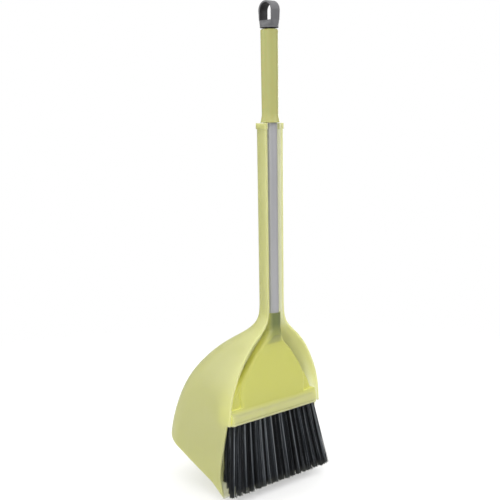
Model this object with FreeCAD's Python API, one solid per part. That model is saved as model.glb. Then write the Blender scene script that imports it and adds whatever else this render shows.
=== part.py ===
import FreeCAD, Part
import math
import os

# A child-size broom that clips, bristles down, into the channel handle of a scoop dustpan.
# The set hangs from the loop on top of the broom.
# Millimetres. +X is the set's right, -Y its front (the open mouth of the pan), +Z up.
# Heights below are given from the tip of the pan's lip. HOOK_HEIGHT moves the finished solids
# down, so that the origin is where a hook carries the loop, and the broom's tube lies on Z.

V = FreeCAD.Vector
Z_AXIS = V(0, 0, 1)

HOOK_HEIGHT = 611.5
REACH = 120.0               # half width of the solids that only cut others, past every side
OVERSHOOT = 8.0             # how far a cut runs on past the face that it opens
TOLERANCE = 0.1             # for finding an edge by its place

# ---- Dustpan ----
WALL = 3.1                  # of the pan and of its channel handle
PAN_DRAFT = 0.05            # how much the pan's half width shrinks per mm towards its back
PAN_SIDE_FRONT = -32.0      # the side walls are drawn out to here before the mouth is cut
# Height, half width at the mouth, depth behind the tube's axis, corner radius.
PAN_STATIONS = [
    (-6.0, 84.6, 146.0, 45.0),
    (25.0, 83.8, 146.0, 45.0),
    (60.0, 82.8, 142.2, 45.0),
    (95.0, 81.8, 130.6, 45.0),
    (115.0, 80.2, 121.0, 44.5),
    (133.0, 76.4, 110.8, 43.0),
    (148.0, 70.8, 100.2, 41.0),
    (161.0, 64.4, 88.6, 38.5),
    (172.0, 58.0, 76.6, 35.5),
    (182.0, 50.7, 63.7, 31.5),
    (191.0, 42.6, 49.7, 27.0),
    (199.0, 33.8, 36.6, 22.0),
    (207.0, 24.8, 26.2, 17.8),
    (215.0, 18.4, 20.4, 15.2),
    (223.0, 15.4, 17.9, 14.1),
    (231.0, 14.4, 17.1, 13.7),
    (240.0, 14.1, 16.9, 13.6),
]
MOUTH_STEP_Z = 95.0         # the rims stand proud above this height
# Height and Y of the rim's edge: the proud upper rim, then the lower rim down to the lip.
UPPER_RIM = [(700.0, -8.2), (467.0, -7.7), (264.0, -7.3), (215.0, -7.3), (180.0, -7.1),
             (140.0, -6.2), (MOUTH_STEP_Z, -5.4)]
LOWER_RIM = [(MOUTH_STEP_Z, 1.2), (77.0, 4.6), (48.0, 10.2), (26.0, 12.6), (10.0, 10.4),
             (0.0, 6.0)]
LIP_Y = 6.0
RAMP_END = (21.5, 10.5)     # Y and height where the steep lip ramp meets the flat floor
FLOOR_SLOPE = 0.39          # rise per mm towards the back
FLOOR_WALL = 2.6
LIP_EDGE = 1.2              # thickness left at the very lip
HEEL_RADIUS = 3.5
INNER_HEEL_RADIUS = 4.0
RIM_FILLET = 1.2

# ---- Channel handle of the dustpan ----
CHANNEL_TOP = 465.8
CHANNEL_TOP_STATION = (CHANNEL_TOP, 14.8, 17.3, 14.2)
COLLAR_HEIGHT = 7.4
COLLAR_PROUD = 1.0
COLLAR_JAW = 8.8            # half width between the collar's jaws, which clip round the tube
COLLAR_JAW_FRONT = -4.4     # the jaws stop short of the collar's front

# ---- Broom tube, grip and hanging loop ----
TUBE_R = 8.5
TUBE_WALL = 0.7
TUBE_BOTTOM = 205.0
TUBE_TOP = 573.0
GRIP_BOTTOM = CHANNEL_TOP + 0.5
GRIP_TOP = 579.7
GRIP_R_TOP = 10.9
GRIP_R_LOW = 10.4
GRIP_EDGE = 1.2             # chamfer round the grip's top
SKIRT_R = 12.3
SKIRT_HEIGHT = 15.0
SKIRT_BEND = (0.35, 6.75)   # out from the grip's side and up from its foot, on the skirt's curve
SWIVEL_R = 5.5              # bore at the top of the grip that the loop's stem turns in
SWIVEL_CLEARANCE = 0.05
LOOP_GAP = 1.6              # gap between the grip's top and the loop's collar
LOOP_BASE_R = 11.5
LOOP_BASE_HEIGHT = 3.0
LOOP_STRAP = 14.0           # width of the loop along X
LOOP_HALF = 12.0            # outer half width of the loop along Y
LOOP_HALF_LOW = 11.2        # the same at the foot of its hole
LOOP_FOOT_CORNER = 1.6
LOOP_FOOT_FLAT = 0.2        # half the flat left on each side of the neck's round foot
LOOP_EDGE = 0.7             # fillet of the strap's edges
LOOP_CENTRE_Z = 602.2       # centre of the loop's round top
LOOP_HOLE_BOTTOM = 590.5
STEM_BARB_R = 6.6
STEM_BARB_HEIGHT = 2.5
STEM_BARB_GAP = 0.4         # between the barb and the shoulder that it holds under
STEM_TIP_R = 3.95
STEM_BOTTOM = 563.0

# ---- Broom head ----
SOCKET_R = 10.3
SOCKET_TOP = 227.0
SOCKET_BOTTOM = 198.0       # the round socket sinks into the shoulder down to here
HEAD_WALL = 2.4
# Height, half width, front Y, back Y, corner radius of the shoulder under the socket.
SHOULDER_STATIONS = [
    (210.0, 8.8, -8.8, 8.8, 7.6),
    (203.5, 10.4, -9.6, 10.0, 8.0),
    (197.0, 13.0, -8.0, 10.6, 7.6),
    (187.0, 20.0, -2.6, 11.0, 5.4),
]
# The same for the fan-shaped cover, which reaches the ferrule's ends.
FAN_STATIONS = [
    (191.0, 14.6, 1.4, 10.0, 3.8),
    (182.0, 24.4, 1.2, 10.8, 4.2),
    (166.0, 38.0, 1.2, 11.6, 4.2),
    (150.0, 50.2, 1.2, 12.4, 4.2),
    (140.0, 57.8, 1.2, 13.0, 4.2),
    (130.0, 65.2, 1.2, 13.6, 4.2),
    (120.0, 70.6, 1.2, 14.2, 4.2),
    (109.0, 75.2, 1.2, 15.0, 4.2),
]
# The same for the panel that stands proud of the cover, upright below its round shoulders.
PANEL_STATIONS = [
    (187.0, 20.0, -2.6, 11.0, 5.4),
    (178.0, 28.8, -2.3, 10.4, 5.4),
    (167.0, 38.4, -2.1, 10.0, 5.4),
    (155.0, 47.4, -2.0, 10.0, 5.4),
    (145.0, 53.8, -2.0, 10.0, 5.4),
    (136.0, 57.4, -2.1, 10.0, 5.4),
    (126.0, 58.6, -2.2, 10.0, 5.4),
    (109.0, 58.6, -2.6, 10.0, 5.4),
]
FERRULE_HALF = 76.4
FERRULE_BOTTOM = 94.0
FERRULE_FRONT = -6.8
FERRULE_BACK = 20.4
FERRULE_CORNER = 3.0
FERRULE_LIP = 1.4           # height of the lip
FERRULE_LIP_INSET = 0.3     # how far the lip stands back from the roll
# The roll above the lip: how far in from the ferrule's front or back, and height.
FERRULE_ROLL = [(1.1, 95.9), (0.1, 98.6), (0.1, 101.8), (1.1, 105.2), (2.9, 108.4), (4.6, 112.6)]

# ---- Bristle block and bristles ----
BLOCK_HALF = 73.6
BLOCK_FRONT = -4.0
BLOCK_BACK = 17.6
BLOCK_BOTTOM = 95.2
BLOCK_TOP = 106.2
BLOCK_CORNER = 4.0
WELL_OVERLAP = 0.5          # how far the cover's hollow runs down into the block's well
TUFT_ROOT_R = 2.45
TUFT_HOLE_R = 2.5
TUFT_TIP_R = 4.2
TUFT_HOLE_DEPTH = 8.0
TUFT_PITCH = 8.8
TUFT_FOLD_GAP = 1.0         # between a tuft's root and its anchor
HOLE_RUN_OUT = 2.0          # how far a tuft's drill starts below the block
ANCHOR = (6.6, 0.45, 1.8)   # the steel anchor plate: across, thick, tall
# Name, number of tufts, root Y, tip Y, tip height, half width reached by the tips' centres.
TUFT_ROWS = [
    ("tuft_row_front", 17, -0.9, -13.6, 6.5, 85.0),
    ("tuft_row_second", 16, 4.2, -3.6, 7.0, 79.0),
    ("tuft_row_third", 17, 9.4, 6.6, 10.5, 72.5),
    ("tuft_row_back", 16, 14.5, 15.8, 15.0, 69.0),
]


def export(name, shape):
    """Move a finished shape to the hook's frame and write it as one STEP."""
    placed = shape.copy()
    placed.translate(V(0, 0, -HOOK_HEIGHT))
    if not placed.isValid():
        print("NOT VALID:", name)
    print(f"{name}: {len(placed.Solids)} solids, {placed.Volume / 1000:.2f} cm3")
    placed.exportStep(f"parts/{name}.step")


def polygon_prism(points, axis_start, extrusion):
    """Extrude a closed Y-Z outline, given as (y, z) pairs, from X = axis_start."""
    corners = [V(axis_start, y, z) for y, z in points]
    return Part.Face(Part.makePolygon(corners + corners[:1])).extrude(V(extrusion, 0, 0))


def smooth_edge(points):
    """A smooth edge through the given points."""
    curve = Part.BSplineCurve()
    curve.interpolate(points)
    return curve.toShape()


def u_section(z, half_width, depth, radius, front, draft):
    """A closed horizontal U: straight front, drafted sides, rounded back corners."""
    side_run = depth - radius - front
    half_back = half_width - draft * (depth - radius)
    half_front = half_back + draft * side_run
    centre_x = half_back - radius
    centre_y = depth - radius
    diagonal = radius * math.sqrt(0.5)
    right = [V(half_front, front, z), V(half_back, centre_y, z)]
    right_mid = V(centre_x + diagonal, centre_y + diagonal, z)
    right_back = V(centre_x, depth, z)
    left_back = V(-centre_x, depth, z)
    left_mid = V(-centre_x - diagonal, centre_y + diagonal, z)
    left = [V(-half_back, centre_y, z), V(-half_front, front, z)]
    edges = [
        Part.makeLine(right[0], right[1]),
        Part.Arc(right[1], right_mid, right_back).toShape(),
        Part.makeLine(right_back, left_back),
        Part.Arc(left_back, left_mid, left[0]).toShape(),
        Part.makeLine(left[0], left[1]),
        Part.makeLine(left[1], right[0]),
    ]
    return Part.Wire(edges)


def rounded_section(z, half_width, front, back, radius):
    """A closed horizontal rectangle with rounded corners."""
    mid_y = (front + back) / 2
    half_y = (back - front) / 2
    flat_x = half_width - radius
    flat_y = half_y - radius
    diagonal = radius * math.sqrt(0.5)
    edges = []
    for sx, sy in ((1, -1), (1, 1), (-1, 1), (-1, -1)):
        beside = V(sx * half_width, mid_y + sy * flat_y, z)
        corner = V(sx * (flat_x + diagonal), mid_y + sy * (flat_y + diagonal), z)
        ahead = V(sx * flat_x, mid_y + sy * half_y, z)
        start, end = (ahead, beside) if sx * sy < 0 else (beside, ahead)
        if edges:
            edges.append(Part.makeLine(last, start))
        else:
            first = start
        edges.append(Part.Arc(start, corner, end).toShape())
        last = end
    edges.append(Part.makeLine(last, first))
    return Part.Wire(edges)


def slopes(stations, column):
    """How fast one column of a station table changes with height, at each station."""
    found = []
    for i in range(len(stations)):
        below = stations[max(i - 1, 0)]
        above = stations[min(i + 1, len(stations) - 1)]
        found.append((above[column] - below[column]) / (above[0] - below[0]))
    return found


def inner_stations(stations, wall):
    """The same table for the inside of a wall of even thickness."""
    width_slope = slopes(stations, 1)
    depth_slope = slopes(stations, 2)
    inner = []
    for i, (z, half_width, depth, radius) in enumerate(stations):
        inset_x = wall * math.sqrt(1 + width_slope[i] ** 2)
        inset_y = wall * math.sqrt(1 + depth_slope[i] ** 2)
        inset_r = (inset_x + inset_y) / 2
        inner_half = half_width - inset_x
        inner_radius = min(max(radius - inset_r, inner_half * 0.5), inner_half * 0.96)
        inner.append((z, inner_half, depth - inset_y, inner_radius))
    return inner


def loft(wires, ruled=False):
    """A solid through closed wires."""
    return Part.makeLoft(wires, True, ruled)


def above_floor(lift, lip_lift):
    """Everything above the floor's line raised by a thickness, to intersect with the pan."""
    ramp_y, ramp_z = RAMP_END
    front = PAN_SIDE_FRONT - OVERSHOOT
    far = 200.0
    top = UPPER_RIM[0][0]
    ramp_slope = (ramp_z + lift - lip_lift) / (ramp_y - LIP_Y)
    front_z = lip_lift - ramp_slope * (LIP_Y - front)
    far_z = ramp_z + lift + FLOOR_SLOPE * (far - ramp_y)
    outline = [(front, front_z), (ramp_y, ramp_z + lift), (far, far_z), (far, top), (front, top)]
    return polygon_prism(outline, -REACH, 2 * REACH)


def mouth_cutter():
    """Everything in front of the rims."""
    far = PAN_SIDE_FRONT - 2 * OVERSHOOT
    below = -REACH
    upper = smooth_edge([V(-REACH, y, z) for z, y in UPPER_RIM])
    lower = smooth_edge([V(-REACH, y, z) for z, y in LOWER_RIM])
    step_top = V(-REACH, UPPER_RIM[-1][1], MOUTH_STEP_Z)
    step_bottom = V(-REACH, LOWER_RIM[0][1], MOUTH_STEP_Z)
    step = Part.makeLine(step_top, step_bottom)
    lip = V(-REACH, LOWER_RIM[-1][1], LOWER_RIM[-1][0])
    top = V(-REACH, UPPER_RIM[0][1], UPPER_RIM[0][0])
    under = V(-REACH, LIP_Y, below)
    outside = Part.makePolygon([lip, under, V(-REACH, far, below), V(-REACH, far, top.z), top])
    edges = [upper, step, lower] + outside.Edges
    return Part.Face(Part.Wire(Part.sortEdges(edges)[0])).extrude(V(2 * REACH, 0, 0))


def floor_edges(solid, lift):
    """The edges where the floor's planes meet the pan's sides and back."""
    ramp_y, ramp_z = RAMP_END
    found = []
    for edge in solid.Edges:
        middle = edge.valueAt((edge.FirstParameter + edge.LastParameter) / 2)
        floor_z = ramp_z + lift + FLOOR_SLOPE * (middle.y - ramp_y)
        if abs(middle.z - floor_z) < TOLERANCE and middle.y > ramp_y + 1:
            found.append(edge)
    return found


def rim_edges(solid):
    """The long edges of the proud upper rims and of the channel's front."""
    return [edge for edge in solid.Edges
            if edge.BoundBox.YMax < UPPER_RIM[-1][1] + TOLERANCE and edge.Length > 2 * COLLAR_HEIGHT]


def dustpan_body():
    """Pan, channel handle and collar, moulded in one."""
    front = PAN_SIDE_FRONT
    inner_front = front - OVERSHOOT
    pan = loft([u_section(*station, front, PAN_DRAFT) for station in PAN_STATIONS])
    pan = pan.common(above_floor(0.0, 0.0))
    pan = pan.makeFillet(HEEL_RADIUS, floor_edges(pan, 0.0))
    inside = inner_stations(PAN_STATIONS, WALL)
    cavity = loft([u_section(*station, inner_front, PAN_DRAFT) for station in inside])
    cavity = cavity.common(above_floor(FLOOR_WALL, LIP_EDGE))
    cavity = cavity.makeFillet(INNER_HEEL_RADIUS, floor_edges(cavity, FLOOR_WALL))

    stations = [PAN_STATIONS[-1], CHANNEL_TOP_STATION]
    channel = loft([u_section(*station, front, PAN_DRAFT) for station in stations], True)
    top_z, top_half, top_depth, top_radius = CHANNEL_TOP_STATION
    groove_top = (top_z, top_half - WALL, top_depth - WALL, top_radius - WALL)
    stations = [inside[-1], groove_top]
    groove = loft([u_section(*station, inner_front, PAN_DRAFT) for station in stations], True)

    grown = [(z, top_half + COLLAR_PROUD, top_depth + COLLAR_PROUD, top_radius)
             for z in (CHANNEL_TOP - COLLAR_HEIGHT, CHANNEL_TOP)]
    collar = loft([u_section(*station, front, PAN_DRAFT) for station in grown], True)
    mouth_half = top_half - WALL
    clip = Part.makeCylinder(COLLAR_JAW, COLLAR_HEIGHT)
    clip = clip.fuse([
        Part.makeBox(2 * COLLAR_JAW, -front, COLLAR_HEIGHT, V(-COLLAR_JAW, front, 0)),
        Part.makeBox(2 * mouth_half, COLLAR_JAW_FRONT - front, COLLAR_HEIGHT, V(-mouth_half, front, 0)),
    ])
    clip.translate(V(0, 0, CHANNEL_TOP - COLLAR_HEIGHT))
    collar = collar.cut(clip)

    body = pan.fuse(channel).cut(cavity.fuse(groove))
    body = body.fuse(collar).cut(mouth_cutter()).removeSplitter()
    return body.makeFillet(RIM_FILLET, rim_edges(body))


def hang_loop():
    """The hanging loop, its round foot and the barbed stem that turns in the grip's top."""
    foot_z = GRIP_TOP + LOOP_GAP
    foot = Part.makeCylinder(LOOP_BASE_R, LOOP_BASE_HEIGHT, V(0, 0, foot_z))
    neck_z = foot_z + LOOP_BASE_HEIGHT
    half = LOOP_STRAP / 2
    low_half = LOOP_HALF_LOW
    round_r = LOOP_BASE_R
    round_foot = rounded_section(neck_z, round_r, -round_r, round_r, round_r - LOOP_FOOT_FLAT)
    strap_foot = rounded_section(LOOP_HOLE_BOTTOM, half, -low_half, low_half, LOOP_FOOT_CORNER)
    neck = loft([round_foot, strap_foot], True)
    z0 = LOOP_HOLE_BOTTOM
    zc = LOOP_CENTRE_Z
    outer = Part.Wire([
        Part.makeLine(V(-half, -low_half, z0), V(-half, low_half, z0)),
        Part.makeLine(V(-half, low_half, z0), V(-half, LOOP_HALF, zc)),
        Part.Arc(V(-half, LOOP_HALF, zc), V(-half, 0, zc + LOOP_HALF),
                 V(-half, -LOOP_HALF, zc)).toShape(),
        Part.makeLine(V(-half, -LOOP_HALF, zc), V(-half, -low_half, z0)),
    ])
    arch = Part.Face(outer).extrude(V(LOOP_STRAP, 0, 0))
    hole_r = HOOK_HEIGHT - zc
    hole = Part.makeCylinder(hole_r, LOOP_STRAP, V(-half, 0, zc), V(1, 0, 0))
    slot = Part.makeBox(LOOP_STRAP, 2 * hole_r, zc - z0, V(-half, -hole_r, z0))
    arch = arch.cut(hole.fuse(slot))
    ring_edges = [edge for edge in arch.Edges
                  if edge.BoundBox.XLength < TOLERANCE and edge.BoundBox.ZMax > z0 + TOLERANCE]
    arch = arch.makeFillet(LOOP_EDGE, ring_edges)
    stem_r = SWIVEL_R - SWIVEL_CLEARANCE
    barb_top = TUBE_TOP - STEM_BARB_GAP
    profile = [V(0, 0, foot_z), V(stem_r, 0, foot_z), V(stem_r, 0, barb_top),
               V(STEM_BARB_R, 0, barb_top), V(STEM_BARB_R, 0, barb_top - STEM_BARB_HEIGHT),
               V(STEM_TIP_R, 0, STEM_BOTTOM), V(0, 0, STEM_BOTTOM)]
    stem = Part.Face(Part.makePolygon(profile + profile[:1])).revolve(V(0, 0, 0), Z_AXIS, 360)
    return foot.fuse([neck, arch, stem]).removeSplitter()


def grip_sleeve():
    """The moulded grip over the tube's upper end, flared at its foot."""
    out, up = SKIRT_BEND
    foot_bore = V(TUBE_R, 0, GRIP_BOTTOM)
    skirt_foot = V(SKIRT_R, 0, GRIP_BOTTOM)
    skirt_bend = V(GRIP_R_LOW + out, 0, GRIP_BOTTOM + up)
    skirt_top = V(GRIP_R_LOW, 0, GRIP_BOTTOM + SKIRT_HEIGHT)
    side_top = V(GRIP_R_TOP, 0, GRIP_TOP - GRIP_EDGE)
    outline = [
        skirt_top,
        side_top,
        V(GRIP_R_TOP - GRIP_EDGE, 0, GRIP_TOP),
        V(SWIVEL_R, 0, GRIP_TOP),
        V(SWIVEL_R, 0, TUBE_TOP),
        V(TUBE_R, 0, TUBE_TOP),
        foot_bore,
        skirt_foot,
    ]
    skirt = Part.Arc(skirt_foot, skirt_bend, skirt_top).toShape()
    edges = [skirt] + Part.makePolygon(outline).Edges
    return Part.Face(Part.Wire(edges)).revolve(V(0, 0, 0), Z_AXIS, 360)


def handle_tube():
    """The thin steel tube that joins grip and head."""
    length = TUBE_TOP - TUBE_BOTTOM
    outer = Part.makeCylinder(TUBE_R, length, V(0, 0, TUBE_BOTTOM))
    return outer.cut(Part.makeCylinder(TUBE_R - TUBE_WALL, length, V(0, 0, TUBE_BOTTOM)))


def ferrule():
    """The rolled band round the foot of the head, with a thin lip along its lower edge."""
    bottom = FERRULE_BOTTOM
    lip_z = bottom + FERRULE_LIP
    top = FERRULE_ROLL[-1][1]
    middle = (FERRULE_FRONT + FERRULE_BACK) / 2
    x0 = -FERRULE_HALF

    def at(side, inward, z):
        edge = FERRULE_BACK if side > 0 else FERRULE_FRONT
        return V(x0, edge - side * inward, z)

    edges = []
    for side in (-1, 1):
        points = [at(side, inward, z) for inward, z in FERRULE_ROLL]
        lip_foot = at(side, FERRULE_LIP_INSET, bottom)
        lip_top = at(side, FERRULE_LIP_INSET, lip_z)
        edges += Part.makePolygon([V(x0, middle, bottom), lip_foot, lip_top, points[0]]).Edges
        edges += [smooth_edge(points), Part.makeLine(points[-1], V(x0, middle, top))]
    face = Part.Face(Part.Wire(Part.sortEdges(edges)[0]))
    bar = face.extrude(V(2 * FERRULE_HALF, 0, 0))
    low = bottom - OVERSHOOT
    plan = rounded_section(low, FERRULE_HALF, FERRULE_FRONT, FERRULE_BACK, FERRULE_CORNER)
    return bar.common(Part.Face(plan).extrude(V(0, 0, top - low + OVERSHOOT)))


def shrunk(stations, wall):
    """The same stations moved in by a wall."""
    return [(z, half - wall, front + wall, back - wall, max(radius - wall, 1.0))
            for z, half, front, back, radius in stations]


def brush_head():
    """The hollow cover of the brush, with the socket for the tube on top."""
    shoulder = loft([rounded_section(*station) for station in SHOULDER_STATIONS])
    fan = loft([rounded_section(*station) for station in FAN_STATIONS])
    inside = shrunk(FAN_STATIONS, HEAD_WALL)
    inside[-1] = (BLOCK_TOP - WELL_OVERLAP, *inside[-1][1:])
    hollow = loft([rounded_section(*station) for station in inside])
    well_foot = FERRULE_BOTTOM - OVERSHOOT
    plan = rounded_section(well_foot, BLOCK_HALF, BLOCK_FRONT, BLOCK_BACK, BLOCK_CORNER)
    well = Part.Face(plan).extrude(V(0, 0, BLOCK_TOP - well_foot))
    bore = Part.makeCylinder(TUBE_R, SOCKET_TOP - TUBE_BOTTOM, V(0, 0, TUBE_BOTTOM))
    socket = Part.makeCylinder(SOCKET_R, SOCKET_TOP - SOCKET_BOTTOM, V(0, 0, SOCKET_BOTTOM))
    panel = loft([rounded_section(*station) for station in PANEL_STATIONS])
    cover = shoulder.fuse([socket, fan, panel, ferrule()]).removeSplitter()
    return cover.cut([hollow, well, bore])


def tuft_places(count, root_y, tip_y, tip_z, tip_half):
    """Root and tip of every tuft in a row, as points."""
    reach = (count - 1) / 2
    root_half = reach * TUFT_PITCH
    places = []
    for i in range(count):
        share = (i - reach) / reach
        root = V(share * root_half, root_y, BLOCK_BOTTOM)
        places.append((root, V(share * tip_half, tip_y, tip_z)))
    return places


def tuft(root, tip):
    """One bundle of bristles: a tight root in the block, flaring towards the tips."""
    run = tip - root
    root_length = TUFT_HOLE_DEPTH - ANCHOR[2] - TUFT_FOLD_GAP
    profile = [V(0, 0, -root_length), V(TUFT_ROOT_R, 0, -root_length), V(TUFT_ROOT_R, 0, 0),
               V(TUFT_TIP_R, 0, run.Length), V(0, 0, run.Length)]
    solid = Part.Face(Part.makePolygon(profile + profile[:1])).revolve(V(0, 0, 0), Z_AXIS, 360)
    solid.Placement = FreeCAD.Placement(root, FreeCAD.Rotation(Z_AXIS, run))
    return solid


def anchor(root, tip):
    """The small steel plate that holds a tuft's fold at the bottom of its hole."""
    across, thick, tall = ANCHOR
    up = root - tip
    centre = root + up * ((TUFT_HOLE_DEPTH - tall / 2) / up.Length)
    return Part.makeBox(across, thick, tall, centre - V(across / 2, thick / 2, tall / 2))


def bristle_block(places):
    """The block that the tufts are stapled into, pressed into the head."""
    plan = rounded_section(BLOCK_BOTTOM, BLOCK_HALF, BLOCK_FRONT, BLOCK_BACK, BLOCK_CORNER)
    block = Part.Face(plan).extrude(V(0, 0, BLOCK_TOP - BLOCK_BOTTOM))
    cuts = []
    for root, tip in places:
        up = root - tip
        below = root - up * (HOLE_RUN_OUT / up.Length)
        cuts.append(Part.makeCylinder(TUFT_HOLE_R, TUFT_HOLE_DEPTH + HOLE_RUN_OUT, below, up))
        cuts.append(anchor(root, tip))
    return block.cut(cuts)


def main():
    os.makedirs("parts", exist_ok=True)
    rows = {name: tuft_places(*numbers) for name, *numbers in TUFT_ROWS}
    every_place = [place for places in rows.values() for place in places]
    export("dustpan_body", dustpan_body())
    export("hang_loop", hang_loop())
    export("grip_sleeve", grip_sleeve())
    export("handle_tube", handle_tube())
    export("brush_head", brush_head())
    export("bristle_block", bristle_block(every_place))
    for name, places in rows.items():
        export(name, Part.makeCompound([tuft(root, tip) for root, tip in places]))
    export("tuft_anchors", Part.makeCompound([anchor(root, tip) for root, tip in every_place]))


main()
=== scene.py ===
import math
import random

import bmesh
import bpy
from mathutils import Matrix, Vector


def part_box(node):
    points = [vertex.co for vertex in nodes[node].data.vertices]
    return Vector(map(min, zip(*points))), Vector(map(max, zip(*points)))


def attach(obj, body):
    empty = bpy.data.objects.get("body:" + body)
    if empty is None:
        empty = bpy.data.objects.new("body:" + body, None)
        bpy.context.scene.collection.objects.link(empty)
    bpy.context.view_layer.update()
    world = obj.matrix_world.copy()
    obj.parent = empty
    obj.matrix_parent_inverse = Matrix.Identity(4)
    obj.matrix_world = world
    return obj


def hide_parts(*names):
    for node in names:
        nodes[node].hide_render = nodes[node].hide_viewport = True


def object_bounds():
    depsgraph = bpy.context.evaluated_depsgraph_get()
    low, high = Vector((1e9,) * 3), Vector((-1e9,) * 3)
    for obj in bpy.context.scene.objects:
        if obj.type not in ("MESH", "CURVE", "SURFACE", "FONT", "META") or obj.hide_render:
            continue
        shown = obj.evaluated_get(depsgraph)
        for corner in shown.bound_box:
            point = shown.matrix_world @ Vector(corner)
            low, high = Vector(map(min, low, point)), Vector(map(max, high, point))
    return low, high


# The looks of a child-size broom clipped into its scoop dustpan: moulded lime plastic, a coated
# steel tube, a grey hanging loop and bundles of dark bristles. Metres, in the frame of the CAD.

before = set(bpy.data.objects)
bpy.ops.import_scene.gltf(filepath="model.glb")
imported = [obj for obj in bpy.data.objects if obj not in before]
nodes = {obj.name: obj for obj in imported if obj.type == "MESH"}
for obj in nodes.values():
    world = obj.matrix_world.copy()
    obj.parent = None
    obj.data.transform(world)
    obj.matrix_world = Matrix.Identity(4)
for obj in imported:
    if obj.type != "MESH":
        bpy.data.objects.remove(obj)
cad_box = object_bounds()
LOW, HIGH = Vector(cad_box[0]), Vector(cad_box[1])
random_source = random.Random(7)

# ---- Camera, a little above the pan and to the left of the set's front ----
CAMERA_PLACE = Vector((-0.83896, -0.84439, -0.1415))
CAMERA_AZIMUTH = math.radians(-43.5)
CAMERA_PITCH = math.radians(-7.8)
CAMERA_ROLL = math.radians(-0.8)
CAMERA_LENS = 68.4
CAMERA_SENSOR = 36.0

# ---- Bristles ----
BRISTLES_PER_TUFT = 100
BRISTLE_RADIUS = 0.00028
BRISTLE_SIDES = 4
BRISTLE_RINGS = 8
STRANDS = 10                # bundles that the bristles of a tuft cling together in
STRAND_SPREAD = 0.20        # of a bundle, as a share of the tuft's radius
ROOT_SPREAD = 0.62          # a tuft's radius at its hole, as a share of that at its tips
CROWN_WIDTH = 0.34          # the bristles along a tuft's middle stand out, and get a painted highlight
CROWN_HIGHLIGHT = 0.75
PAINTED_LIGHT_FALL = 0.30           # how much a bristle darkens towards its tip: painted light, brightest near the root
GLINT_SHARE = 0.035         # bristles given a painted glint from end to end
SHADE_SCATTER = 0.20        # of the single bristles of a strand
# strengths of a tuft's painted highlight, picked at random for each tuft
CROWN_CHOICES = (0.35, 0.9, 1.0, 1.1)
# Share of the strands up to this kind, and the kind's darkest and lightest shade. Strands differ in tone at
# random, and the lightest kind also stands in for painted reflection along the strands.
STRAND_KINDS = [(0.48, 0.0, 0.35), (0.76, 0.45, 0.65), (1.0, 0.72, 0.92)]

# ---- Colours, in linear light: most have the two tones that a finish is mottled with ----
PAN_LIME = ((0.52, 0.525, 0.205), (0.495, 0.50, 0.188))
# painted shade, darker towards the pan's foot
PAN_FOOT_SHADE = (0.46, 0.46, 0.15)
PAN_GLOW = ((0.62, 0.64, 0.46), 0.15)           # the painted glow's colour and its strength
HEAD_LIME = ((0.54, 0.545, 0.160), (0.52, 0.525, 0.145))
# painted highlight on the head's roll
HEAD_ROLL_HIGHLIGHT = (0.80, 0.79, 0.34)
HEAD_GLOW = ((0.86, 0.85, 0.24), 0.22)
SOCKET_SHADE = (0.150, 0.180, 0.062)
GRIP_LIME = ((0.475, 0.475, 0.168), (0.44, 0.44, 0.152))
LIME_SPECK = (0.72, 0.73, 0.36)
LIME_SCUFF = (0.74, 0.75, 0.50)
# painted highlight along the edges of the lime plastic
LIME_EDGE_HIGHLIGHT = (0.68, 0.70, 0.42)
# painted highlight along the grip's edges
GRIP_EDGE_HIGHLIGHT = (0.60, 0.61, 0.36)
LOOP_GREY = ((0.150, 0.150, 0.158), (0.125, 0.125, 0.132))
LOOP_RUBBED = (0.24, 0.24, 0.25)
# painted highlight along the loop's edges
LOOP_EDGE_HIGHLIGHT = (0.27, 0.27, 0.28)
# painted shade for the loop's closed-in parts
LOOP_PAINTED_SHADE = (0.018, 0.018, 0.018)
TUBE_GREY = ((0.43, 0.43, 0.445), (0.39, 0.39, 0.405))
TUBE_LINES = (0.52, 0.52, 0.54)
BLOCK_LIME = ((0.44, 0.45, 0.17), (0.36, 0.37, 0.17))
BRISTLE_TONES = [(0.0, (0.003, 0.0035, 0.0045)), (0.40, (0.009, 0.011, 0.014)),
                 (0.70, (0.066, 0.076, 0.088)), (1.0, (0.23, 0.245, 0.26))]
BRISTLE_TIPS = (0.110, 0.115, 0.100)
FLOOR_WHITE = ((0.93, 0.93, 0.93), (0.91, 0.91, 0.91))

# ---- Places on the plastics, in metres ----
PAN_FOOT_HEIGHT = 0.10      # the pan's foot, up from its lowest point: it has scuffs, and painted shade darkens it
HEAD_HIGHLIGHT_BAND = (0.105, 0.112)     # the head's painted highlight, on its roll and below, fades out between these heights above the lip
SOCKET_LENGTH = 0.040
SOCKET_RADIUS = 0.0105
GLOW_DISTANCE = 0.018       # how near a wall has to be for the painted glow to show

# ---- Floor and light ----
FLOOR_REACH = 3.0
FLOOR_FADE_START = 0.25     # the floor melts into the white surroundings between these distances
FLOOR_FADE_END = 1.0
FLOOR_BODY = 0.60           # the rest is white light from below, which keeps the shadow faint
AMBIENT = 0.30              # brightness of the white surroundings, as the set is lit by them
FLOOR_STEPS = 12
FLOOR_DROP = 0.004          # from the set's lowest point down to the floor
# Name, place, width and power of each soft box.
SOFT_BOXES = [
    ("fill", (-1.90, -1.00, 0.25), 1.0, 18.5),
    ("key", (0.80, -1.55, 0.70), 0.9, 13.0),
    ("left_wash", (-1.5, 1.2, 0.5), 1.2, 14.0),
    ("back_fill", (2.2, 0.9, -0.1), 1.0, 20.0),
]
SKY_HEIGHT = 3.0
SKY_STRENGTH = 2.45
SKY_ANGLE = math.radians(100)


# ---------------------------------------------------------------- materials

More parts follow.
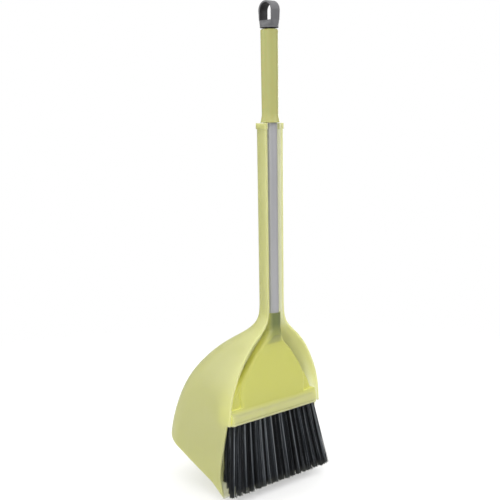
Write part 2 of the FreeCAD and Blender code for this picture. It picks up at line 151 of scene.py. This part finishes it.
class Shader:
    """A material with a principled shader and short ways to wire its nodes."""

    def __init__(self, name):
        self.material = bpy.data.materials.new(name)
        self.material.use_nodes = True
        self.tree = self.material.node_tree
        self.tree.nodes.clear()
        out = self.tree.nodes.new("ShaderNodeOutputMaterial")
        self.principled = self.tree.nodes.new("ShaderNodeBsdfPrincipled")
        self.tree.links.new(self.principled.outputs[0], out.inputs[0])
        self.coordinates = self.tree.nodes.new("ShaderNodeTexCoord").outputs["Object"]

    def link(self, source, target):
        self.tree.links.new(source, target)

    def set(self, **values):
        """Set plain values on the principled shader, with _ for a space in a socket's name."""
        for name, value in values.items():
            self.principled.inputs[name.replace("_", " ")].default_value = value

    def feed(self, socket, source):
        self.link(source, self.principled.inputs[socket])

    def stretched(self, scale):
        """The object's coordinates, multiplied by a factor for each axis."""
        mapping = self.tree.nodes.new("ShaderNodeMapping")
        mapping.inputs["Scale"].default_value = scale
        self.link(self.coordinates, mapping.inputs["Vector"])
        return mapping.outputs[0]

    def noise(self, scale, detail=3.0, rough=0.5, stretch=(1, 1, 1), distortion=0.0):
        """Noise about 1/scale metres across, as a value from 0 to 1."""
        node = self.tree.nodes.new("ShaderNodeTexNoise")
        node.inputs["Scale"].default_value = scale
        node.inputs["Detail"].default_value = detail
        node.inputs["Roughness"].default_value = rough
        node.inputs["Distortion"].default_value = distortion
        self.link(self.stretched(stretch), node.inputs["Vector"])
        return node.outputs["Fac"]

    def tones(self, source, low, high, pair):
        """The pair of colours that a finish is mottled with, spread over a value."""
        return self.mix(self.span(source, low, high), *pair)

    def ramp(self, source, *stops):
        """A colour ramp over a value: stops are (place, colour or grey)."""
        node = self.tree.nodes.new("ShaderNodeValToRGB")
        elements = node.color_ramp.elements
        while len(elements) < len(stops):
            elements.new(0.5)
        for element, (place, colour) in zip(elements, stops):
            element.position = place
            if isinstance(colour, (int, float)):
                colour = (colour, colour, colour)
            element.color = (*colour, 1.0)
        self.link(source, node.inputs["Fac"])
        return node.outputs["Color"]

    def span(self, source, low, high, to_low=0.0, to_high=1.0):
        """A value moved from one range to another, and held inside it."""
        node = self.tree.nodes.new("ShaderNodeMapRange")
        for name, value in (("From Min", low), ("From Max", high), ("To Min", to_low), ("To Max", to_high)):
            node.inputs[name].default_value = value
        self.link(source, node.inputs["Value"])
        return node.outputs[0]

    def math(self, operation, first, second):
        node = self.tree.nodes.new("ShaderNodeMath")
        node.operation = operation
        for socket, value in zip(node.inputs, (first, second)):
            if isinstance(value, (int, float)):
                socket.default_value = value
            else:
                self.link(value, socket)
        return node.outputs[0]

    def mix(self, factor, first, second):
        """Two colours mixed by a value or a number."""
        node = self.tree.nodes.new("ShaderNodeMix")
        node.data_type = "RGBA"
        colours = [socket for socket in node.inputs if socket.type == "RGBA"]
        for socket, value in ((node.inputs[0], factor), (colours[0], first), (colours[1], second)):
            if isinstance(value, (int, float)):
                socket.default_value = value
            elif isinstance(value, tuple):
                socket.default_value = (*value, 1.0)
            else:
                self.link(value, socket)
        return [socket for socket in node.outputs if socket.type == "RGBA"][0]

    def axis(self, name):
        """One of the object's coordinates, in metres."""
        node = self.tree.nodes.new("ShaderNodeSeparateXYZ")
        self.link(self.coordinates, node.inputs[0])
        return node.outputs[name]

    def reach(self):
        """How far a point is from the object's origin, in metres."""
        node = self.tree.nodes.new("ShaderNodeVectorMath")
        node.operation = "LENGTH"
        self.link(self.coordinates, node.inputs[0])
        return node.outputs["Value"]

    def attribute(self, name):
        node = self.tree.nodes.new("ShaderNodeAttribute")
        node.attribute_name = name
        return node.outputs["Fac"]

    def openness(self, distance):
        """How open the surroundings are within a distance, from 0 to 1."""
        node = self.tree.nodes.new("ShaderNodeAmbientOcclusion")
        node.samples = 8
        node.inputs["Distance"].default_value = distance
        return node.outputs["AO"]

    def soft_edges(self, radius):
        """Normals that round every edge a little, and a value that is 1 along those edges."""
        bevel = self.tree.nodes.new("ShaderNodeBevel")
        bevel.samples = 4
        bevel.inputs["Radius"].default_value = radius
        geometry = self.tree.nodes.new("ShaderNodeNewGeometry")
        dot = self.tree.nodes.new("ShaderNodeVectorMath")
        dot.operation = "DOT_PRODUCT"
        self.link(bevel.outputs[0], dot.inputs[0])
        self.link(geometry.outputs["Normal"], dot.inputs[1])
        return bevel.outputs[0], self.span(dot.outputs["Value"], 0.97, 0.80)

    def bump(self, *layers, normal=None):
        """Bump layers on each other: each is (height, strength, distance in metres)."""
        for height, strength, distance in layers:
            node = self.tree.nodes.new("ShaderNodeBump")
            node.inputs["Strength"].default_value = strength
            node.inputs["Distance"].default_value = distance
            self.link(height, node.inputs["Height"])
            if normal is not None:
                self.link(normal, node.inputs["Normal"])
            normal = node.outputs[0]
        self.feed("Normal", normal)


def lime_plastic(name, pair, glow, foot_painted_light, foot_low, foot_high, socket=None):
    """Moulded polypropylene: faint mottling, a fine skin, and scuffs towards its foot.

    Every edge gets a painted highlight. Recesses get painted light: their colour is lightened
    towards a glow colour and they glow with a strength, in place of light carried through the thin
    walls. The foot's colour is mixed halfway towards a colour of painted light, darker for painted
    shade and lighter for a painted highlight, which fades out between two heights. A socket, given
    by its top, its foot and its radius, is darkened towards a grey-green, most near its top.
    """
    shader = Shader(name)
    normal, edge = shader.soft_edges(0.0011)
    cloud = shader.noise(11.0, detail=4.0)
    base = shader.tones(cloud, 0.35, 0.65, pair)
    speck = shader.noise(1400.0, detail=2.0)
    base = shader.mix(shader.span(speck, 0.62, 0.75, 0.0, 0.10), base, LIME_SPECK)
    low_down = shader.span(shader.axis("Z"), foot_high, foot_low)
    # painted light at the foot: painted shade on the pan, a painted highlight on the head's roll
    base = shader.mix(shader.math("MULTIPLY", low_down, 0.5), base, foot_painted_light)
    scuff = shader.noise(60.0, detail=6.0, rough=0.7, stretch=(1.0, 1.0, 0.12), distortion=0.6)
    scuff = shader.math("MULTIPLY", shader.span(scuff, 0.60, 0.68), low_down)
    base = shader.mix(shader.math("MULTIPLY", scuff, 0.12), base, LIME_SCUFF)
    # painted highlight along every edge
    base = shader.mix(shader.math("MULTIPLY", edge, 0.18), base, LIME_EDGE_HIGHLIGHT)
    glow_colour, glow_strength = glow
    # painted light: recesses are lightened and made to glow, in place of light carried through the walls
    painted_glow_mask = shader.span(shader.openness(GLOW_DISTANCE), 0.25, 0.72, 1.0, 0.0)
    base = shader.mix(shader.math("MULTIPLY", painted_glow_mask, 0.85), base, glow_colour)
    shader.feed("Emission Strength", shader.math("MULTIPLY", painted_glow_mask, glow_strength))
    shader.set(Emission_Color=(*glow_colour, 1.0))
    # darker grey-green on the socket, most near its top
    if socket:
        top, foot, radius = socket
        across = shader.math("ABSOLUTE", shader.axis("X"), 0.0)
        inside = shader.span(across, radius + 0.0030, radius - 0.0040)
        upper = shader.span(shader.axis("Z"), foot, top - 0.014, 0.25, 0.98)
        above = shader.span(shader.axis("Z"), foot - 0.002, foot + 0.002)
        seen = shader.math("MULTIPLY", inside, shader.math("MULTIPLY", upper, above))
        base = shader.mix(seen, base, SOCKET_SHADE)
        shader.feed("Subsurface Weight", shader.span(seen, 0.0, 0.5, 0.9, 0.1))
    shader.feed("Base Color", base)
    rough = shader.span(shader.noise(45.0, detail=5.0), 0.3, 0.7, 0.33, 0.44)
    shader.feed("Roughness", shader.math("ADD", rough, shader.math("MULTIPLY", scuff, 0.16)))
    skin = shader.noise(420.0, detail=2.0)
    grain = shader.noise(2600.0, detail=2.0)
    shader.bump((skin, 0.10, 0.00025), (grain, 0.12, 0.00006), (scuff, 0.25, 0.00004), normal=normal)
    shader.set(IOR=1.49, Subsurface_Weight=0.9, Subsurface_Radius=(1.0, 1.0, 0.9), Subsurface_Scale=0.020)
    return shader.material


def grip_plastic():
    """The grip's softer plastic, with fine lines drawn along it."""
    shader = Shader("grip_plastic_look")
    normal, edge = shader.soft_edges(0.0008)
    cloud = shader.noise(18.0, detail=4.0, stretch=(1, 1, 0.4))
    base = shader.tones(cloud, 0.35, 0.65, GRIP_LIME)
    # painted highlight along every edge
    base = shader.mix(shader.math("MULTIPLY", edge, 0.25), base, GRIP_EDGE_HIGHLIGHT)
    shader.feed("Base Color", base)
    shader.feed("Roughness", shader.span(shader.noise(70.0, detail=4.0), 0.3, 0.7, 0.42, 0.54))
    lines = shader.noise(900.0, detail=2.0, stretch=(1, 1, 0.03))
    grain = shader.noise(2400.0, detail=2.0)
    shader.bump((lines, 0.12, 0.00008), (grain, 0.18, 0.00006), normal=normal)
    shader.set(IOR=1.49, Subsurface_Weight=0.10, Subsurface_Scale=0.0015)
    return shader.material


def grey_plastic():
    """The loop's grey plastic: a matt skin, a rubbed top, painted highlights along its edges, and painted
    shade where it is closed in.
    """
    shader = Shader("grey_plastic_look")
    normal, edge = shader.soft_edges(0.0007)
    cloud = shader.noise(90.0, detail=4.0)
    base = shader.tones(cloud, 0.35, 0.65, LOOP_GREY)
    rubbed = shader.span(shader.axis("Z"), -0.006, 0.003)
    rubs = shader.math("MULTIPLY", rubbed, shader.span(shader.noise(300.0, detail=5.0), 0.45, 0.7))
    base = shader.mix(shader.math("MULTIPLY", rubs, 0.35), base, LOOP_RUBBED)
    # painted highlight along every edge
    base = shader.mix(shader.math("MULTIPLY", edge, 0.35), base, LOOP_EDGE_HIGHLIGHT)
    # painted shade, near black, where the loop is closed in
    base = shader.mix(shader.span(shader.openness(0.024), 0.60, 0.98), LOOP_PAINTED_SHADE, base)
    shader.feed("Base Color", base)
    shader.feed("Roughness", shader.span(shader.noise(240.0, detail=4.0), 0.3, 0.7, 0.46, 0.60))
    grain = shader.noise(2000.0, detail=3.0)
    shader.bump((grain, 0.30, 0.00010), (rubs, 0.20, 0.00005), normal=normal)
    shader.set(IOR=1.50)
    return shader.material


def tube_coating():
    """Silver-grey coating on drawn steel tube, with faint drawing lines and fine marks."""
    shader = Shader("tube_coating_look")
    lines = shader.noise(700.0, detail=3.0, stretch=(1, 1, 0.012))
    cloud = shader.noise(25.0, detail=4.0, stretch=(1, 1, 0.3))
    base = shader.tones(cloud, 0.35, 0.65, TUBE_GREY)
    base = shader.mix(shader.span(lines, 0.5, 0.8, 0.0, 0.25), base, TUBE_LINES)
    shader.feed("Base Color", base)
    shader.feed("Roughness", shader.span(lines, 0.3, 0.7, 0.34, 0.46))
    shader.bump((lines, 0.10, 0.00004))
    shader.set(Metallic=0.15, IOR=1.5)
    return shader.material


def block_plastic():
    """The bristle block: dull plastic with drill burrs and dust."""
    shader = Shader("block_plastic_look")
    dust = shader.noise(260.0, detail=6.0, rough=0.7)
    shader.feed("Base Color", shader.tones(dust, 0.4, 0.7, BLOCK_LIME))
    shader.feed("Roughness", shader.span(dust, 0.3, 0.7, 0.5, 0.65))
    shader.bump((shader.noise(1500.0, detail=3.0), 0.25, 0.0001))
    return shader.material


def anchor_steel():
    """Bright stamped steel wire with fine draw lines."""
    shader = Shader("anchor_steel_look")
    lines = shader.noise(1200.0, detail=3.0, stretch=(0.05, 1, 1))
    shader.feed("Base Color", shader.ramp(lines, (0.3, 0.42), (0.7, 0.62)))
    shader.feed("Roughness", shader.span(lines, 0.3, 0.7, 0.25, 0.4))
    shader.set(Metallic=1.0)
    return shader.material


def bristle_look():
    """Dark nylon: each strand has its own shade, with painted highlights and glints, and worn tips are
    greyer.
    """
    shader = Shader("bristle_look")
    shade = shader.attribute("shade")
    along = shader.attribute("along")
    grain = shader.noise(500.0, detail=3.0, stretch=(1, 1, 0.05))
    shade = shader.math("ADD", shade, shader.span(grain, 0.3, 0.7, -0.06, 0.06))
    base = shader.ramp(shade, *BRISTLE_TONES)
    worn = shader.span(along, 0.90, 1.0, 0.0, 0.60)
    shader.feed("Base Color", shader.mix(worn, base, BRISTLE_TIPS))
    shader.feed("Roughness", shader.span(grain, 0.3, 0.7, 0.36, 0.52))
    shader.set(IOR=1.53, Specular_IOR_Level=0.22)
    return shader.material


def floor_look():
    """A plain pale floor with the faintest unevenness, which fades out away from the set."""
    shader = Shader("floor_look")
    cloud = shader.noise(3.0, detail=3.0)
    shader.feed("Base Color", shader.tones(cloud, 0.3, 0.7, FLOOR_WHITE))
    shader.feed("Roughness", shader.span(cloud, 0.3, 0.7, 0.7, 0.8))
    shader.feed("Alpha", shader.span(shader.reach(), FLOOR_FADE_START, FLOOR_FADE_END, FLOOR_BODY, 0.0))
    return shader.material


def dress(node_name, material):
    """Give a CAD node its finish."""
    mesh = nodes[node_name].data
    mesh.materials.clear()
    mesh.materials.append(material)
    mesh.polygons.foreach_set("material_index", [0] * len(mesh.polygons))


# ---------------------------------------------------------------- bristles

def tuft_axes(node_name):
    """Root and tip of every tuft of a CAD row, and the tip's radius, read from its solids."""
    mesh = bmesh.new()
    mesh.from_mesh(nodes[node_name].data)
    bmesh.ops.remove_doubles(mesh, verts=mesh.verts, dist=1e-6)
    waiting = set(mesh.verts)
    axes = []
    while waiting:
        stack = [waiting.pop()]
        island = []
        while stack:
            vert = stack.pop()
            island.append(vert.co.copy())
            for edge in vert.link_edges:
                other = edge.other_vert(vert)
                if other in waiting:
                    waiting.remove(other)
                    stack.append(other)
        top = max(point.z for point in island)
        bottom = min(point.z for point in island)
        roots = [point for point in island if point.z > top - 0.0015]
        tips = [point for point in island if point.z < bottom + 0.0025]
        root = sum(roots, Vector()) / len(roots)
        tip = sum(tips, Vector()) / len(tips)
        axes.append((root, tip, max((point - tip).length for point in tips)))
    mesh.free()
    axes.sort(key=lambda axis: axis[0].x)
    return axes


def bristle_path(root, tip, side, other, offset, spread, length, bow):
    """Points down one bristle: it leaves the root bundle and spreads towards the tip."""
    points = []
    for ring in range(BRISTLE_RINGS):
        share = ring / (BRISTLE_RINGS - 1)
        along = share * length
        flare = ROOT_SPREAD + (1 - ROOT_SPREAD) * min(1.0, along * 1.15) ** 0.75
        lean = offset * (spread * flare)
        sag = math.sin(math.pi * share) * bow.x
        curl = share * share * bow.y
        points.append(root.lerp(tip, along) + side * (lean.x + sag) + other * (lean.y + curl))
    return points


def held(points, low, high):
    """The same points, kept a bristle's radius inside a box."""
    kept = []
    for point in points:
        inside = [min(max(point[k], low[k] + BRISTLE_RADIUS), high[k] - BRISTLE_RADIUS) for k in range(3)]
        kept.append(Vector(inside))
    return kept


def add_bristle(bm, layers, points, shade):
    """A thin tapered rod along a path."""
    shade_layer, along_layer = layers
    previous = None
    last = len(points) - 1
    for i, point in enumerate(points):
        ahead = points[min(i + 1, last)] - points[max(i - 1, 0)]
        side = ahead.orthogonal().normalized()
        other = ahead.cross(side).normalized()
        share = i / last
        radius = BRISTLE_RADIUS * (1.0 - 0.35 * share ** 2)
        ring = []
        for k in range(BRISTLE_SIDES):
            angle = 2 * math.pi * k / BRISTLE_SIDES
            around = side * math.cos(angle) + other * math.sin(angle)
            vert = bm.verts.new(point + around * radius)
            # painted light: brighter near the root, darker towards the tip
            vert[shade_layer] = shade * (1.1 - PAINTED_LIGHT_FALL * share)
            vert[along_layer] = share
            ring.append(vert)
        if previous:
            for k in range(BRISTLE_SIDES):
                following = (k + 1) % BRISTLE_SIDES
                bm.faces.new((previous[k], ring[k], ring[following], previous[following]))
        else:
            bm.faces.new(ring)
        previous = ring
    bm.faces.new(list(reversed(previous)))


def strand_traits():
    """A strand's place in its tuft, shade, sideways bow and length."""
    distance = 0.85 * math.sqrt(random_source.random())
    angle = random_source.uniform(0, 2 * math.pi)
    middle = Vector((distance * math.cos(angle), distance * math.sin(angle)))
    kind = random_source.random()
    darkest, lightest = next((low, high) for share, low, high in STRAND_KINDS if kind < share)
    shade = random_source.uniform(darkest, lightest)
    return middle, shade, random_source.uniform(-0.0009, 0.0009), random_source.uniform(0.993, 1.002)


def bristle_row(node_name, material):
    """Every bristle of one row of tufts, as one piece on the broom."""
    bm = bmesh.new()
    layers = (bm.verts.layers.float.new("shade"), bm.verts.layers.float.new("along"))
    row_low, row_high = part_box(node_name)
    for root, tip, spread in tuft_axes(node_name):
        run = tip - root
        side = Vector((1, 0, 0)) - run * (run.x / run.length_squared)
        side.normalize()
        other = run.cross(side).normalized()
        tuft_shade = random_source.uniform(-0.08, 0.08)
        tuft_crown = random_source.choice(CROWN_CHOICES)
        tuft_length = random_source.uniform(0.993, 1.003)
        strands = [strand_traits() for _ in range(STRANDS)]
        for i in range(BRISTLES_PER_TUFT):
            middle, strand_shade, strand_bow, strand_length = strands[i % STRANDS]
            scatter = Vector((random_source.gauss(0, STRAND_SPREAD), random_source.gauss(0, STRAND_SPREAD)))
            offset = middle + scatter
            crown = math.exp(-(offset.x / CROWN_WIDTH) ** 2)
            # painted highlight along the tuft's middle, added to the strand's and tuft's own tone
            shade = strand_shade * 0.9 + tuft_shade + tuft_crown * CROWN_HIGHLIGHT * (crown - 0.15)
            shade += random_source.uniform(-SHADE_SCATTER, SHADE_SCATTER)
            # painted glint
            if random_source.random() < GLINT_SHARE:
                shade = 1.0
            bow = Vector((strand_bow + random_source.gauss(0, 0.0003), random_source.gauss(0, 0.0005)))
            length = tuft_length * strand_length * random_source.uniform(0.988, 1.002)
            path = bristle_path(root, tip, side, other, offset, spread, length, bow)
            path = held(path, row_low, row_high)
            add_bristle(bm, layers, path, min(max(shade, 0.0), 1.0))
    mesh = bpy.data.meshes.new(node_name + "_bristles")
    bm.to_mesh(mesh)
    bm.free()
    mesh.polygons.foreach_set("use_smooth", [True] * len(mesh.polygons))
    mesh.materials.append(material)
    piece = bpy.data.objects.new(node_name + "_bristles", mesh)
    bpy.context.scene.collection.objects.link(piece)
    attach(piece, "broom")
    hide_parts(node_name)


# ---------------------------------------------------------------- stage, light and camera

def floor():
    """A wide pale floor just under the set."""
    bm = bmesh.new()
    lines = [-FLOOR_REACH + 2 * FLOOR_REACH * i / FLOOR_STEPS for i in range(FLOOR_STEPS + 1)]
    rows = [[bm.verts.new((x, y, 0.0)) for y in lines] for x in lines]
    for i in range(FLOOR_STEPS):
        for j in range(FLOOR_STEPS):
            bm.faces.new((rows[i][j], rows[i + 1][j], rows[i + 1][j + 1], rows[i][j + 1]))
    mesh = bpy.data.meshes.new("floor")
    bm.to_mesh(mesh)
    bm.free()
    mesh.materials.append(floor_look())
    piece = bpy.data.objects.new("floor", mesh)
    piece.location.z = LOW.z - FLOOR_DROP
    bpy.context.scene.collection.objects.link(piece)


def soft_light(name, place, size, power):
    """A square soft box that faces the middle of the set."""
    data = bpy.data.lights.new(name, "AREA")
    data.shape = "SQUARE"
    data.size = size
    data.energy = power
    light = bpy.data.objects.new(name, data)
    light.location = place
    middle = (LOW + HIGH) / 2
    light.rotation_euler = (middle - Vector(place)).to_track_quat("-Z", "Y").to_euler()
    bpy.context.scene.collection.objects.link(light)


def studio():
    """White surroundings, a broad light from above, and soft boxes all round.

    The surroundings are dimmer as a light than they are to the eye, which keeps the shapes clear.
    """
    world = bpy.data.worlds.new("studio")
    bpy.context.scene.world = world
    world.use_nodes = True
    tree = world.node_tree
    background = tree.nodes["Background"]
    background.inputs["Color"].default_value = (1, 1, 1, 1)
    seen = tree.nodes.new("ShaderNodeLightPath").outputs["Is Camera Ray"]
    strength = tree.nodes.new("ShaderNodeMapRange")
    strength.inputs["To Min"].default_value = AMBIENT
    strength.inputs["To Max"].default_value = 1.0
    tree.links.new(seen, strength.inputs["Value"])
    tree.links.new(strength.outputs[0], background.inputs["Strength"])
    for name, place, size, power in SOFT_BOXES:
        soft_light(name, place, size, power)
    sky = bpy.data.lights.new("sky", "SUN")
    sky.energy = SKY_STRENGTH
    sky.angle = SKY_ANGLE
    overhead = bpy.data.objects.new("sky", sky)
    overhead.location.z = SKY_HEIGHT
    bpy.context.scene.collection.objects.link(overhead)
    bpy.context.scene.view_settings.view_transform = "Standard"


def camera():
    """The camera, from its place, its turn about the vertical, its pitch and its roll."""
    data = bpy.data.cameras.new("camera")
    data.lens = CAMERA_LENS
    data.sensor_width = CAMERA_SENSOR
    data.clip_start = 0.01
    cos_pitch = math.cos(CAMERA_PITCH)
    look = Vector((-math.sin(CAMERA_AZIMUTH) * cos_pitch, math.cos(CAMERA_AZIMUTH) * cos_pitch,
                   math.sin(CAMERA_PITCH)))
    right = look.cross(Vector((0, 0, 1))).normalized()
    up = right.cross(look)
    turn = Matrix.Rotation(-CAMERA_ROLL, 3, look)
    right = turn @ right
    up = turn @ up
    axes = Matrix((right, up, -look)).transposed().to_4x4()
    piece = bpy.data.objects.new("camera", data)
    piece.matrix_world = Matrix.Translation(CAMERA_PLACE) @ axes
    bpy.context.scene.collection.objects.link(piece)
    bpy.context.scene.camera = piece


def main():
    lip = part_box("dustpan_body")[0].z
    socket_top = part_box("brush_head")[1].z
    band_low, band_high = HEAD_HIGHLIGHT_BAND
    pan = lime_plastic("pan_plastic_look", PAN_LIME, PAN_GLOW, PAN_FOOT_SHADE, lip, lip + PAN_FOOT_HEIGHT)
    head = lime_plastic("head_plastic_look", HEAD_LIME, HEAD_GLOW, HEAD_ROLL_HIGHLIGHT,
                        lip + band_low, lip + band_high,
                        socket=(socket_top, socket_top - SOCKET_LENGTH, SOCKET_RADIUS))
    dress("dustpan_body", pan)
    dress("brush_head", head)
    dress("grip_sleeve", grip_plastic())
    dress("hang_loop", grey_plastic())
    dress("handle_tube", tube_coating())
    dress("bristle_block", block_plastic())
    dress("tuft_anchors", anchor_steel())
    dark = bristle_look()
    for row in ("tuft_row_front", "tuft_row_second", "tuft_row_third", "tuft_row_back"):
        bristle_row(row, dark)
    floor()
    studio()
    camera()


main()
